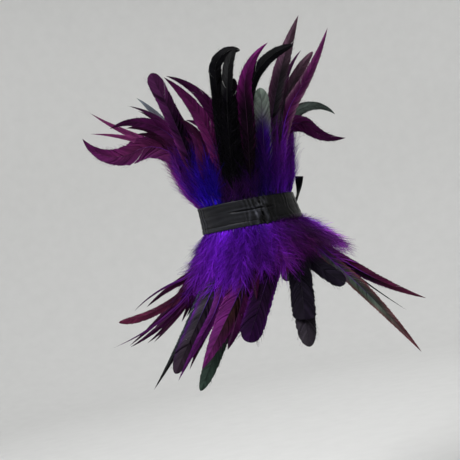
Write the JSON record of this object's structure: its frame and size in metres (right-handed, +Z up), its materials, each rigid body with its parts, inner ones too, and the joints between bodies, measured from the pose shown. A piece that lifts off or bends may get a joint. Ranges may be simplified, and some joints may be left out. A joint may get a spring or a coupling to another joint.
{
  "type": "feather choker",
  "caption": "Tall feather choker: a black satin ribbon band tied at the back, with a fringe of dyed purple feathers rising from it and another falling over the shoulders.",
  "frame": {"origin": "on the neck axis, at half the height of the ribbon band", "axes": "+Z up along the neck, +Y towards the tie at the back, -Y to the front, +X to the wearer's left"},
  "size_m": [0.3209, 0.2906, 0.3918],
  "materials": {
    "satin_ribbon": "black satin with soft highlights",
    "dyed_feather": "violet down turning to dark plum vanes"
  },
  "bodies": {
    "root": {"neck_band": "satin_ribbon", "band_gather": "satin_ribbon", "ribbon_tie": "satin_ribbon", "upper_feather_fringe": "dyed_feather", "lower_feather_fringe": "dyed_feather"}
  },
  "joints": []
}
